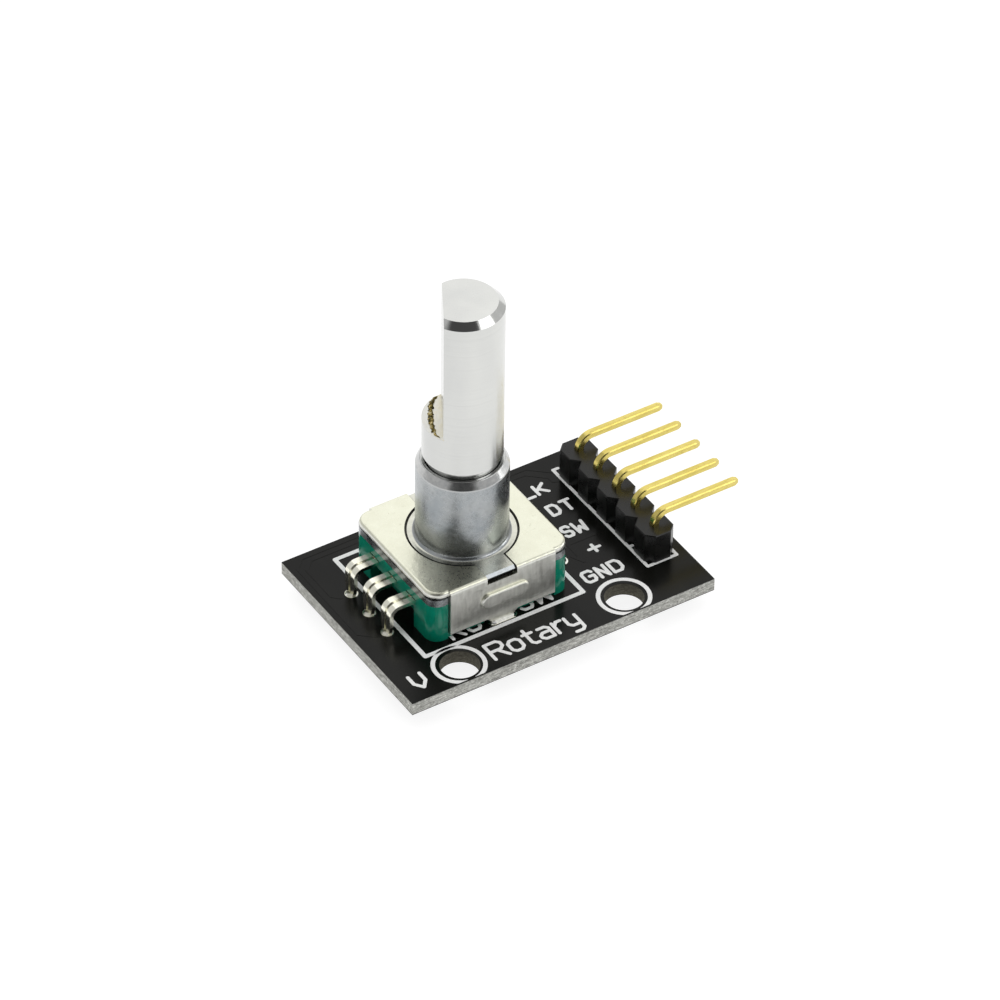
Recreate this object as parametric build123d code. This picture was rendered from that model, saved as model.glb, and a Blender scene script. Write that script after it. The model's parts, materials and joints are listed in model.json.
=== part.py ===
from build123d import *
import os
from math import cos, sin, pi, radians, sqrt

os.makedirs("parts", exist_ok=True)

# ----------------------------------------------------------------------------
# Rotary encoder module: a small circuit board carrying an incremental rotary
# encoder with a push switch and a five-way right-angle pin header.
#
# Everything is drawn in a board frame: X along the long edge towards the
# header, Y along the short edge, Z up, z = 0 on the board's upper face and
# x = y = 0 at one corner.  The finished pieces are moved so that the origin is
# the centre of the bounding box's underside.
# ----------------------------------------------------------------------------

# board
board_l = 26.1          # long edge
board_w = 18.3          # short edge
board_t = 1.1           # core plus copper and mask
mount_r = 1.5           # two mounting holes
mount_x1 = 5.15
mount_x2 = 19.35
mount_y = 1.8
pad_t = 0.035           # copper and tin
tail_z = -2.6           # ends of the soldered header tails

# encoder, about its own axis
enc_x = 10.5
enc_y = 10.1
body_hx = 5.95          # half sizes of the mouldings and the plate
body_hy = 5.45
body_corner = 1.0
arm_hw = 4.5            # half width of the cover's clip arms
arm_in = 5.32           # inner face of a clip arm
sheet_t = 0.35          # cover sheet thickness
base_top = 1.3          # joint between switch base and contact housing
housing_top = 3.3       # joint between contact housing and plate
plate_top = 4.1
cover_top = 4.5
cover_hx = 6.0
cover_hy = arm_in + sheet_t     # outer face of a clip arm
cover_end = 5.47        # the flat top stops short of the arms at its corners
cover_corner = 1.2
cover_hole_r = 4.22
slot_x0 = -1.35         # opening in the cover for the plate's tab
slot_x1 = 1.2
slot_z = 3.86           # the opening runs down over the bend of the clip arm
tab_y = 5.5
tab_z = 4.1
bush_r = 3.45
bush_top = 11.5
bore_r = 2.80
shoulder_r = 4.04
shoulder_z = 4.44

# shaft
shaft_r = 3.0
turned_r = 2.995        # round part below the flat, as turned
journal_r = 2.75        # part that runs in the bush
shaft_from = 12.05      # shoulder above the bush, more than the push travel
shaft_top = 25.8
flat_from = 15.12       # lower end of the D flat
flat_d = 1.5            # axis to flat (4.5 mm across)
flat_angle = 150.0      # direction the flat faces, from +X towards +Y
shaft_chamfer = 0.5
ring_z0, ring_z1 = 3.60, 3.84
collar_z = 3.3
groove_r = 2.2
collar_r = 2.6
drive_z = 1.72
drive_r = 1.7
drive_flat = 1.3

# rotor and detents
rotor_z0, rotor_z1 = 2.3, 2.95
rotor_r = 4.7
cavity_r = 4.85
cavity_z = 1.6
detents = 30
pulses = 15

# switch
push_travel = 0.5
contact_z0, contact_z1 = 0.25, 0.35
dome_top = 0.86
plunger_z0 = 0.88
plunger_top = 1.70

# terminals
term_pitch = 2.5
term_w = 1.25
term_t = 0.32
term_z = 2.6            # upper face where it leaves the moulding
term_leg = -7.95        # leg centre from the encoder axis
notch_y0, notch_y1 = -2.95, 3.1   # recess in the mouldings below the terminals
notch_z = 1.95
sw_leg = 7.1
sw_pitch = 5.0
leg_tail = -2.3

# header
hdr_x = 24.0
hdr_pitch = 2.54
hdr_h = 2.54
hdr_cut = 0.6
pin_w = 0.56
pin_edge = 0.07         # broken edges along the pin
pin_z = 3.6             # centre line of the horizontal run
pin_tip = 31.3
bend_r = 1.05           # centre-line radius

# origin of the finished part
ox = pin_tip / 2
oy = board_w / 2
oz = -tail_z


def box(x0, x1, y0, y1, z0, z1):
    return Pos((x0 + x1) / 2, (y0 + y1) / 2, (z0 + z1) / 2) * Box(x1 - x0, y1 - y0, z1 - z0)


def cyl(r, z0, z1, x=0.0, y=0.0):
    return Pos(x, y, (z0 + z1) / 2) * Cylinder(r, z1 - z0)


def cone(r0, r1, z0, z1, x=0.0, y=0.0):
    return Pos(x, y, (z0 + z1) / 2) * Cone(r0, r1, z1 - z0)


def slab(hx, hy, r, z0, z1):
    """Rectangular slab with rounded upright corners."""
    return Pos(0, 0, z0) * extrude(RectangleRounded(2 * hx, 2 * hy, r), z1 - z0)


def at_enc(s):
    return Pos(enc_x, enc_y, 0) * s


def edges_at(shape, z, tol=0.01):
    out = []
    for e in shape.edges():
        b = e.bounding_box()
        if abs(b.min.Z - z) < tol and abs(b.max.Z - z) < tol:
            out.append(e)
    return out


nodes = {}

# ---------------------------------------------------------------- board -----
pin_ys = [enc_y + (i - 2) * hdr_pitch for i in range(5)]      # gnd, vcc, sw, dt, clk
pin_names = ["gnd", "vcc", "sw", "dt", "clk"]
hole_r = 0.50
holes = [(hdr_x, y, hole_r) for y in pin_ys]
holes += [(enc_x + term_leg, enc_y + k * term_pitch, hole_r) for k in (-1, 0, 1)]
holes += [(enc_x + sw_leg, enc_y + k * sw_pitch / 2, hole_r) for k in (-1, 1)]
lug_hw = 0.95
lug_y = arm_in + sheet_t / 2
slot_l, slot_w = 2.5, 0.95

board = box(0, board_l, 0, board_w, -board_t, 0)
for x in (mount_x1, mount_x2):
    board -= cyl(mount_r, -board_t - 1, 1, x, mount_y)
for x, y, r in holes:
    board -= cyl(r, -board_t - 1, 1, x, y)
for s in (-1, 1):
    board -= Pos(enc_x, enc_y + s * lug_y, -board_t - 1) * extrude(SlotOverall(slot_l, slot_w), board_t + 2)
nodes["pcb_board"] = board

pads = None
ring_w = 0.38
for x, y, r in holes:
    # annular rings on both faces for the header, on the lower face only for the encoder
    up = pad_t if x == hdr_x else 0.0
    p = cyl(r + ring_w, -board_t - pad_t, -board_t, x, y)
    if up:
        p += cyl(r + ring_w, 0, up, x, y)
    p += cyl(r, -board_t - pad_t, up, x, y)
    p -= cyl(r - 0.03, -board_t - 1, 1, x, y)
    pads = p if pads is None else pads + p
for s in (-1, 1):
    q = Pos(enc_x, enc_y + s * lug_y, 0)
    p = (q * Pos(0, 0, -board_t - pad_t)) * extrude(SlotOverall(slot_l + 0.7, slot_w + 0.7), pad_t)
    # on the upper face the pad runs under the encoder body, flush with the mask
    p += (q * Pos(0, 0, -board_t - pad_t)) * extrude(SlotOverall(slot_l, slot_w), board_t + pad_t)
    p -= (q * Pos(0, 0, -board_t - 1)) * extrude(SlotOverall(slot_l - 0.06, slot_w - 0.06), board_t + 3)
    pads += p
nodes["pcb_pads"] = pads

# --------------------------------------------------------------- header -----
h = hdr_pitch / 2
c = hdr_cut
cell = Polygon((-h, -h + c), (-h + c, -h), (h - c, -h), (h, -h + c),
               (h, h - c), (h - c, h), (-h + c, h), (-h, h - c), align=None)
housing = None
for y in pin_ys:
    k = Pos(hdr_x, y, pad_t) * extrude(cell, hdr_h - pad_t)
    # each cell overlaps its neighbour by the width of the flat between notches
    housing = k if housing is None else housing + k
# shallow clearance under the insulator, leaving a rib at each cell's sides
housing -= box(hdr_x - 0.62, hdr_x + 0.62, pin_ys[0] - 0.9, pin_ys[-1] + 0.9, pad_t - 0.5, pad_t + 0.25)
housing = chamfer(edges_at(housing, hdr_h), 0.07)
for y in pin_ys:
    housing -= box(hdr_x - pin_w / 2, hdr_x + pin_w / 2, y - pin_w / 2, y + pin_w / 2, -1, hdr_h + 1)
nodes["header_housing"] = housing

w = pin_w / 2
z_bend = pin_z - bend_r
x_bend = hdr_x + bend_r
taper = 0.40
tip = 0.16
for name, y in zip(pin_names, pin_ys):
    # side outline of the bent pin in the XZ plane
    ro, ri = bend_r + w, bend_r - w
    cx, cz = x_bend, z_bend
    s45 = sqrt(0.5)
    with BuildSketch(Plane.XZ) as sk:
        with BuildLine():
            Line((hdr_x - w, tail_z + taper), (hdr_x - w, cz))
            ThreePointArc((hdr_x - w, cz), (cx - ro * s45, cz + ro * s45), (cx, pin_z + w))
            Line((cx, pin_z + w), (pin_tip - taper, pin_z + w))
            Line((pin_tip - taper, pin_z + w), (pin_tip, pin_z + tip))
            Line((pin_tip, pin_z + tip), (pin_tip, pin_z - tip))
            Line((pin_tip, pin_z - tip), (pin_tip - taper, pin_z - w))
            Line((pin_tip - taper, pin_z - w), (cx, pin_z - w))
            ThreePointArc((cx, pin_z - w), (cx - ri * s45, cz + ri * s45), (hdr_x + w, cz))
            Line((hdr_x + w, cz), (hdr_x + w, tail_z + taper))
            Line((hdr_x + w, tail_z + taper), (hdr_x + tip, tail_z))
            Line((hdr_x + tip, tail_z), (hdr_x - tip, tail_z))
            Line((hdr_x - tip, tail_z), (hdr_x - w, tail_z + taper))
        make_face()
    pin = extrude(sk.sketch, amount=w, both=True)
    rim = [e for e in pin.edges() if abs(abs(e.center().Y) - w) < 0.001 and e.length > 0.9]
    pin = chamfer(rim, pin_edge)
    # the pointed ends narrow in the other direction too
    for s in (-1, 1):
        wedge = Pos(0, 0, 0) * extrude(Polygon((pin_tip - taper, s * w), (pin_tip + 0.01, s * tip),
                                               (pin_tip + 0.01, s * (w + 1)), (pin_tip - taper, s * (w + 1)), align=None),
                                       amount=2.0, both=True)
        pin -= Pos(0, 0, pin_z) * wedge
        tail = extrude(Plane.YZ * Polygon((s * w, tail_z + taper), (s * tip, tail_z - 0.01),
                                          (s * (w + 1), tail_z - 0.01), (s * (w + 1), tail_z + taper), align=None),
                       amount=2.0, both=True)
        pin -= Pos(hdr_x, 0, 0) * tail
    nodes["header_pin_" + name] = Pos(0, y, 0) * pin

# --------------------------------------------------------------- solder -----
def fillet_joint(x, y, r_pad, r_top, hgt, hole, cut):
    """Concave solder meniscus below the board with its plug in the barrel."""
    z0 = -board_t - pad_t
    prof = [(0, z0), (r_pad, z0), (r_pad * 0.62 + r_top * 0.38, z0 - hgt * 0.30),
            (r_top * 0.75 + r_pad * 0.25, z0 - hgt * 0.62), (r_top, z0 - hgt), (0, z0 - hgt)]
    with BuildSketch(Plane.XZ) as s:
        with BuildLine():
            Line(prof[0], prof[1])
            Spline(prof[1], prof[2], prof[3], prof[4])
            Line(prof[4], prof[5])
            Line(prof[5], prof[0])
        make_face()
    j = revolve(s.sketch, Axis.Z)
    j += cyl(hole, z0 - 0.02, 0)
    return (Pos(x, y, 0) * j) - cut


hs = None
for name, y in zip(pin_names, pin_ys):
    cut = box(hdr_x - w, hdr_x + w, y - w, y + w, -5, 3)
    j = fillet_joint(hdr_x, y, 0.84, 0.50, 0.95, hole_r - 0.03, cut)
    hs = j if hs is None else hs + j
nodes["header_solder"] = hs

# ------------------------------------------------------ signal terminals ----
def sketch_xz(points):
    return Plane.XZ * Polygon(*points, align=None)


def extrude_y(face, y0, y1):
    """Extrude an XZ-plane face between two Y stations."""
    return Pos(0, (y0 + y1) / 2, 0) * extrude(face, amount=(y1 - y0) / 2, both=True)


leg_hw = 0.36
xo = term_leg - term_t / 2          # outer face of the leg
xi = term_leg + term_t / 2
ro = 0.85                           # outer bend radius
zt, zb = term_z, term_z - term_t
for name, k, reach in (("a", 1, -2.45), ("c", 0, -2.2), ("b", -1, -2.45)):
    y = k * term_pitch
    s45 = sqrt(0.5)
    ri = ro - term_t
    with BuildSketch(Plane.XZ) as sk:
        with BuildLine():
            cxb, czb = xo + ro, zt - ro
            Line((xo, 0.9), (xo, czb))
            ThreePointArc((xo, czb), (cxb - ro * s45, czb + ro * s45), (cxb, zt))
            Line((cxb, zt), (-5.35, zt))
            Line((-5.35, zt), (-4.75, 1.85))
            Line((-4.75, 1.85), (-4.2, 1.85))
            Line((-4.2, 1.85), (-4.2, 1.62))
            Line((-4.2, 1.62), (-4.95, 1.62))
            Line((-4.95, 1.62), (-5.55, zb))
            Line((-5.55, zb), (cxb, zb))
            ThreePointArc((cxb, zb), (cxb - ri * s45, czb + ri * s45), (xi, czb))
            Line((xi, czb), (xi, 0.9))
            Line((xi, 0.9), (xo, 0.9))
        make_face()
    t = Pos(0, y, 0) * extrude(sk.sketch, amount=term_w / 2, both=True)
    # inside the moulding the strip is narrower
    t -= box(-5.6, -3.0, y + 0.45, y + 2, 1.0, 2.32)
    t -= box(-5.6, -3.0, y - 2, y - 0.45, 1.0, 2.32)
    # leg: tapers from the strip's width to the part that enters the board
    leg = extrude(Plane.YZ * Polygon((-term_w / 2, 0.9), (-term_w / 2, 0.85), (-leg_hw, -0.1), (-leg_hw, leg_tail + 0.35),
                                     (-0.15, leg_tail), (0.15, leg_tail), (leg_hw, leg_tail + 0.35), (leg_hw, -0.1),
                                     (term_w / 2, 0.85), (term_w / 2, 0.9), align=None), amount=term_t / 2, both=True)
    t += Pos(term_leg, y, 0) * leg
    # lengthwise groove on the outer face, over the bend and down the leg
    gw, gd = 0.13, 0.12
    with BuildSketch(Plane.XZ) as gk:
        with BuildLine():
            cxb, czb = xo + ro, zt - ro
            rg = ro - gd
            Line((xo - 0.2, 0.25), (xo - 0.2, czb))
            ThreePointArc((xo - 0.2, czb), (cxb - (ro + 0.2) * s45, czb + (ro + 0.2) * s45), (cxb, zt + 0.2))
            Line((cxb, zt + 0.2), (-5.95, zt + 0.2))
            Line((-5.95, zt + 0.2), (-5.95, zt - gd))
            Line((-5.95, zt - gd), (cxb, zt - gd))
            ThreePointArc((cxb, zt - gd), (cxb - rg * s45, czb + rg * s45), (xo + gd, czb))
            Line((xo + gd, czb), (xo + gd, 0.25))
            Line((xo + gd, 0.25), (xo - 0.2, 0.25))
        make_face()
    t -= Pos(0, y, 0) * extrude(gk.sketch, amount=gw, both=True)
    # brush finger: thin spring strip rising from the floor to the code disc
    x0, x1 = -4.2, reach
    zt0, zt1 = 1.74, rotor_z0 - 0.12
    f = extrude_y(sketch_xz([(x0 - 0.1, zt0 - 0.12), (x0, zt0 - 0.12), (x1 - 0.25, zt1 - 0.09), (x1, zt1 - 0.17), (x1 + 0.06, zt1 - 0.11),
                             (x1 - 0.2, zt1), (x0, zt0), (x0 - 0.1, zt0)]), y - 0.24, y + 0.24)
    t += f
    nodes["terminal_" + name] = at_enc(t)

# ------------------------------------------------------ switch terminals ----
def switch_terminal(y, inner):
    """Flat strip leaving the base on the +X side and turning down into the board."""
    hw = 0.45
    x_out = sw_leg + 0.14
    with BuildSketch(Plane.XZ) as sk:
        with BuildLine():
            Line((4.2, contact_z0), (5.2, contact_z0))
            Line((5.2, contact_z0), (5.5, 0.52))
            Line((5.5, 0.52), (x_out - 0.28 - 0.25, 0.52))
            ThreePointArc((x_out - 0.53, 0.52), (x_out - 0.28 - 0.073, 0.447), (x_out - 0.28, 0.27))
            Line((x_out - 0.28, 0.27), (x_out - 0.28, leg_tail + 0.2))
            Line((x_out - 0.28, leg_tail + 0.2), (x_out, leg_tail + 0.2))
            Line((x_out, leg_tail + 0.2), (x_out, 0.3))
            ThreePointArc((x_out, 0.3), (x_out - 0.146, 0.654), (x_out - 0.5, 0.8))
            Line((x_out - 0.5, 0.8), (5.4, 0.8))
            Line((5.4, 0.8), (4.9, contact_z1))
            Line((4.9, contact_z1), (4.2, contact_z1))
            Line((4.2, contact_z1), (4.2, contact_z0))
        make_face()
    t = Pos(0, y, 0) * extrude(sk.sketch, amount=hw, both=True)
    # pointed tail
    for s in (-1, 1):
        t -= Pos(sw_leg, y, 0) * extrude(Plane.YZ * Polygon((s * 0.2, leg_tail), (s * 0.36, leg_tail + 0.5), (s * 0.36, 0.05),
                                                            (s * 0.46, 0.25), (s * 1.0, 0.25), (s * 1.0, leg_tail), align=None),
                                         amount=1.0, both=True)
    return t + inner


yd, ye = sw_pitch / 2, -sw_pitch / 2
ring = cyl(3.15, contact_z0, contact_z1) - cyl(2.45, contact_z0 - 1, contact_z1 + 1)
ring -= box(1.0, 4.0, ye - 1.4, ye + 1.75, 0, 1)          # gap the centre strip passes through
ring += box(2.2, 4.3, yd - 0.45, yd + 0.05, contact_z0, contact_z1)
terminal_d = switch_terminal(yd, ring)
centre = cyl(0.9, contact_z0, contact_z1)
arm_pts = Polygon((0.0, -0.35), (2.1, ye - 0.05), (4.3, ye - 0.25), (4.3, ye + 0.25), (2.4, ye + 0.4), (0.5, 0.3), align=None)
centre += Pos(0, 0, contact_z0) * extrude(arm_pts, contact_z1 - contact_z0)
terminal_e = switch_terminal(ye, centre)
nodes["terminal_d"] = at_enc(terminal_d)
nodes["terminal_e"] = at_enc(terminal_e)

ts = None
for k in (-1, 0, 1):
    x, y = enc_x + term_leg, enc_y + k * term_pitch
    cut = box(x - term_t / 2, x + term_t / 2, y - leg_hw, y + leg_hw, leg_tail + 0.35, 3)
    # the leg flares just above the board, so the plug stops below the flare
    j = fillet_joint(x, y, 0.84, 0.48, 0.80, hole_r - 0.03, cut)
    j -= cyl(0.6, -0.12, 0.5, x, y)
    ts = j if ts is None else ts + j
for k in (-1, 1):
    x, y = enc_x + sw_leg, enc_y + k * sw_pitch / 2
    cut = box(x - 0.14, x + 0.14, y - 0.36, y + 0.36, leg_tail + 0.5, 3)
    j = fillet_joint(x, y, 0.84, 0.48, 0.65, hole_r - 0.03, cut)
    ts += j
nodes["terminal_solder"] = ts

# ---------------------------------------------------------------- cover -----
cv = slab(cover_hx, cover_end, cover_corner, plate_top, cover_top)
cv = fillet(edges_at(cv, cover_top), 0.28)
# clip arms with a rounded bend
for s in (-1, 1):
    yi, yo = arm_in, cover_hy
    arm = box(-arm_hw, arm_hw, min(s * yi, s * yo), max(s * yi, s * yo), 0.5, cover_top)
    arm += box(-arm_hw, arm_hw, min(s * 4.8, s * yo), max(s * 4.8, s * yo), plate_top, cover_top)
    # the sheet is bent over a rounded edge
    arm = fillet([e for e in edges_at(arm, cover_top) if abs(e.center().Y - s * yo) < 0.01], 0.30)
    cv += arm
    # board lug, slightly cranked and pointed
    lug = extrude(Plane.XZ * Polygon((-lug_hw - 0.35, 0.5), (-lug_hw, 0.15), (-lug_hw, -1.6), (-0.45, leg_tail + 0.1), (0.45, leg_tail + 0.1),
                                     (lug_hw, -1.6), (lug_hw, 0.15), (lug_hw + 0.35, 0.5), align=None), amount=sheet_t / 2, both=True)
    cv += Pos(0, s * lug_y, 0) * lug
    # oblong rib pressed outwards, hollow behind
    rib = Pos(0.12, 0, 2.33) * extrude(Plane.XZ * SlotOverall(4.1, 1.3), amount=0.2, both=True)
    rib = fillet([e for e in rib.edges() if abs(e.center().Y - s * 0.2) < 0.01], 0.17)
    rib = Pos(0, s * (cover_hy + 0.04), 0) * rib
    cv += rib
    dent = Pos(0.12, 0, 2.33) * extrude(Plane.XZ * SlotOverall(3.6, 0.8), amount=0.2, both=True)
    cv -= Pos(0, s * (arm_in + 0.03), 0) * dent
    # locking tabs folded under the base's shoulder
    for t in (-1, 1):
        tx0, tx1 = sorted((t * 3.0, t * 4.1))
        ty0, ty1 = sorted((s * 4.85, s * (arm_in + 0.05)))
        cv += box(tx0, tx1, ty0, ty1, 0.52, 0.86)
# central hole and the openings for the plate's tabs
cv -= cyl(cover_hole_r, plate_top - 0.5, cover_top + 1)
for y0, y1 in ((-cover_hy - 0.5, -3.0), (3.0, cover_hy + 0.5)):
    cv -= box(slot_x0, slot_x1, y0, y1, slot_z, cover_top + 1)
nodes["encoder_cover"] = at_enc(cv)

lug_s = None
for s in (-1, 1):
    x, y = enc_x, enc_y + s * lug_y
    z0 = -board_t - pad_t
    j = Pos(x, y, z0 - 0.62) * extrude(SlotOverall(slot_l + 0.1, slot_w - 0.1), 0.62)
    j = loft([Pos(x, y, z0) * SlotOverall(slot_l + 0.6, slot_w + 0.6), Pos(x, y, z0 - 0.35) * SlotOverall(slot_l + 0.15, slot_w + 0.05),
              Pos(x, y, z0 - 0.75) * SlotOverall(slot_l - 0.35, slot_w - 0.45)])
    j += Pos(x, y, z0 - 0.02) * extrude(SlotOverall(slot_l - 0.06, slot_w - 0.06), board_t + pad_t - 0.03)
    j -= box(x - lug_hw, x + lug_hw, y - sheet_t / 2, y + sheet_t / 2, -1.6, 1)
    j -= Pos(0, y, 0) * extrude(Plane.XZ * Polygon((x - lug_hw, -1.6), (x - 0.45, leg_tail + 0.1), (x + 0.45, leg_tail + 0.1), (x + lug_hw, -1.6),
                                                   align=None), amount=sheet_t / 2, both=True)
    lug_s = j if lug_s is None else lug_s + j
nodes["lug_solder"] = lug_s

# -------------------------------------------------------- plate and bush ----
def side_recess(s, z0, z1):
    """Space for a clip arm in a moulding's or plate's side."""
    y0, y1 = sorted((s * (arm_in - 0.02), s * 7.0))
    return box(-arm_hw - 0.08, arm_hw + 0.08, y0, y1, z0, z1)


plate = slab(body_hx, body_hy, body_corner, housing_top, plate_top)
for s in (-1, 1):
    plate -= side_recess(s, 0, 6)
# tabs that show through the cover, with a bevelled outer edge
for s in (-1, 1):
    y0, y1 = sorted((s * tab_y, s * 3.6))
    tab = box(slot_x0 + 0.05, slot_x1 - 0.09, y0, y1, tab_z, shoulder_z)
    tab -= Pos(0, s * tab_y, shoulder_z) * Rot(45, 0, 0) * Box(6, 0.30, 0.30)
    # shallow groove where the cover's edge stands off the plate
    plate -= Pos(0, s * body_hy, plate_top) * Rot(45, 0, 0) * Box(20, 0.24, 0.24)
    # space under the tab's end, above the arm
    y0, y1 = sorted((s * 7.0, s * 5.15))
    plate -= box(slot_x0 - 0.05, slot_x1 + 0.01, y0, y1, 3.2, tab_z + 0.05)
    # root of the tab, let into the plate
    y0, y1 = sorted((s * 3.6, s * 5.0))
    tab += box(slot_x0 + 0.05, slot_x1 - 0.09, y0, y1, plate_top - 0.15, plate_top + 0.1)
    plate += tab
plate += cyl(shoulder_r, plate_top - 0.1, shoulder_z)
with BuildSketch(Plane.XZ) as bk:
    with BuildLine():
        Line((0, shoulder_z - 0.1), (bush_r + 0.35, shoulder_z - 0.1))
        Line((bush_r + 0.35, shoulder_z - 0.1), (bush_r + 0.35, shoulder_z))
        ThreePointArc((bush_r + 0.35, shoulder_z), (bush_r + 0.103, shoulder_z + 0.103), (bush_r, shoulder_z + 0.35))
        Line((bush_r, shoulder_z + 0.35), (bush_r, bush_top - 0.66))
        ThreePointArc((bush_r, bush_top - 0.66), (bush_r - 0.012, bush_top - 0.60), (bush_r - 0.04, bush_top - 0.54))
        Line((bush_r - 0.04, bush_top - 0.54), (bush_r - 0.30, bush_top - 0.05))
        ThreePointArc((bush_r - 0.30, bush_top - 0.05), (bush_r - 0.325, bush_top - 0.018), (bush_r - 0.37, bush_top))
        Line((bush_r - 0.37, bush_top), (0, bush_top))
        Line((0, bush_top), (0, shoulder_z - 0.1))
    make_face()
plate += revolve(bk.sketch, Axis.Z)
plate -= cyl(bore_r, 0, 20)
plate -= cone(bore_r, bore_r + 0.08, bush_top - 0.08, bush_top)
plate -= cyl(3.85, housing_top - 1, 3.85)                       # pocket for the retaining ring
nodes["bush_plate"] = at_enc(plate)

# ------------------------------------------------------ contact housing -----
ch = slab(body_hx, body_hy, body_corner, base_top, housing_top)
for s in (-1, 1):
    ch -= side_recess(s, 0, 6)
ch -= cyl(cavity_r, cavity_z, housing_top + 1)
ch -= cyl(1.78, base_top - 1, cavity_z + 1)                     # plunger guide
for name in ("a", "b", "c"):
    ch -= Pos(-enc_x, -enc_y, 0) * nodes["terminal_" + name]
# small half-round relief above each terminal's root, as moulded
for k in (-1, 0, 1):
    ch -= Pos(-body_hx, k * term_pitch, term_z + 0.02) * Box(0.16, term_w + 0.1, 0.10)
# recess below the terminals
ch -= box(-7, -5.62, notch_y0, notch_y1, 0, notch_z)
nodes["contact_housing"] = at_enc(ch)

# ---------------------------------------------------------- switch base -----
sb = slab(body_hx, body_hy, body_corner, 0.0, base_top)
for s in (-1, 1):
    sb -= side_recess(s, -1, 6)
    for t in (-1, 1):
        tx0, tx1 = sorted((t * 2.9, t * 4.2))
        ty0, ty1 = sorted((s * 4.75, s * 7.0))
        sb -= box(tx0, tx1, ty0, ty1, -1, 0.9)
    # clearance over the lug slots' solder
    ty0, ty1 = sorted((s * 5.0, s * 7.0))
    sb -= box(-1.4, 1.4, ty0, ty1, -1, 0.3)
sb -= cyl(3.35, contact_z0, base_top + 1)
# recess below the terminals
sb -= box(-7, -5.0, notch_y0, notch_y1, -1, base_top + 1)
sb -= Pos(-enc_x, -enc_y, 0) * nodes["terminal_d"]
sb -= Pos(-enc_x, -enc_y, 0) * nodes["terminal_e"]
nodes["switch_base"] = at_enc(sb)

# ---------------------------------------------------------------- dome ------
def cap(r, z_rim, z_apex, t):
    """Solid cap of a sphere of height z_apex - z_rim over a rim of radius r."""
    hgt = z_apex - z_rim
    big = (r * r + hgt * hgt) / (2 * hgt)
    return Pos(0, 0, z_apex - big) * Sphere(big - t)


dome_r = 3.05
dome = cap(dome_r, contact_z1, dome_top, 0.0) - cap(dome_r, contact_z1, dome_top, 0.07)
dome &= cyl(dome_r, contact_z1, dome_top + 0.5)
nodes["switch_dome"] = at_enc(dome)

# --------------------------------------------------------------- plunger ----
pl = cyl(2.6, plunger_z0 + 0.07, 1.22) + cyl(0.6, plunger_z0, plunger_z0 + 0.2) + cyl(1.7, 1.1, plunger_top)
nodes["switch_plunger"] = at_enc(pl)

# ----------------------------------------------------------------- rotor ----
rot = cyl(rotor_r, rotor_z0, rotor_z1)
rot -= cyl(3.0, 2.72, 4)
drive_hole = cyl(drive_r + 0.06, 0, 4) & box(-5, 5, -drive_flat - 0.05, drive_flat + 0.05, 0, 4)
rot -= drive_hole
for i in range(detents):
    g = Rot(0, 0, 360.0 * i / detents) * Pos(4.35, 0, rotor_z1 + 0.02) * Rot(45, 0, 0) * Box(0.9, 0.24, 0.24)
    rot -= g
nodes["rotor"] = at_enc(rot)

disc = cyl(2.95, rotor_z0 - 0.1, rotor_z0)
for i in range(pulses):
    a = 360.0 * i / pulses
    disc += Rot(0, 0, a) * Pos(3.6, 0, rotor_z0 - 0.05) * Box(1.7, 0.78, 0.1)
disc -= cyl(2.1, 0, 4)
nodes["code_disc"] = at_enc(disc)

# ---------------------------------------------------------- detent spring ---
dsp = cyl(4.78, housing_top - 0.12, housing_top) - cyl(3.95, 0, 5)
for a in (90, 270):
    # rounded nose pressed down from the ring, at the height of the rotor's lands
    dsp += Rot(0, 0, a) * Pos(4.35, 0, 3.14) * Rot(0, 90, 0) * Cylinder(0.165, 0.7)
nodes["detent_spring"] = at_enc(dsp)

# ------------------------------------------------------ shaft and its ring --
sh = cyl(shaft_r, flat_from, shaft_top)
sh = chamfer(edges_at(sh, shaft_top), shaft_chamfer)
sh -= Rot(0, 0, flat_angle) * box(flat_d, 6, -6, 6, flat_from - 1, shaft_top + 1)
sh += cyl(turned_r, shaft_from, flat_from)
sh += cyl(journal_r, ring_z1 + 0.02, shaft_from + 0.1)
sh += cyl(groove_r, ring_z0 - 0.05, ring_z1 + 0.1)
sh += cyl(collar_r, collar_z, ring_z0 - 0.01)
sh += cyl(drive_r, drive_z, collar_z + 0.05) & box(-5, 5, -drive_flat, drive_flat, 0, 5)
nodes["encoder_shaft"] = at_enc(sh)

rr = cyl(3.6, ring_z0, ring_z1) - cyl(groove_r + 0.02, 0, 6)
rr -= box(1.0, 5.0, -0.85, 0.85, 0, 6)
nodes["retaining_ring"] = at_enc(rr)

# -------------------------------------------------------- chip resistors ----
rb = rc = None
for y in (6.3, 13.2):
    x = 20.9
    z0 = -board_t - 0.06
    b = box(x - 0.62, x + 0.62, y - 0.72, y + 0.72, z0 - 0.50, z0)
    rb = b if rb is None else rb + b
    for s in (-1, 1):
        y0, y1 = sorted((y + s * 0.72, y + s * 1.0))
        cap = box(x - 0.62, x + 0.62, y0, y1, z0 - 0.50, z0)
        y0, y1 = sorted((y + s * 0.66, y + s * 1.28))
        foot = box(x - 0.66, x + 0.66, y0, y1, z0, -board_t)
        y0, y1 = sorted((y + s * 1.0, y + s * 1.22))
        mn = extrude(Plane.YZ * Polygon((y + s * 1.0, z0), (y + s * 1.25, z0), (y + s * 1.0, z0 - 0.34), align=None), amount=0.6, both=True)
        mn = Pos(x, 0, 0) * mn
        k = cap + foot + mn
        rc = k if rc is None else rc + k
nodes["resistor_bodies"] = rb
nodes["resistor_caps"] = rc

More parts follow.
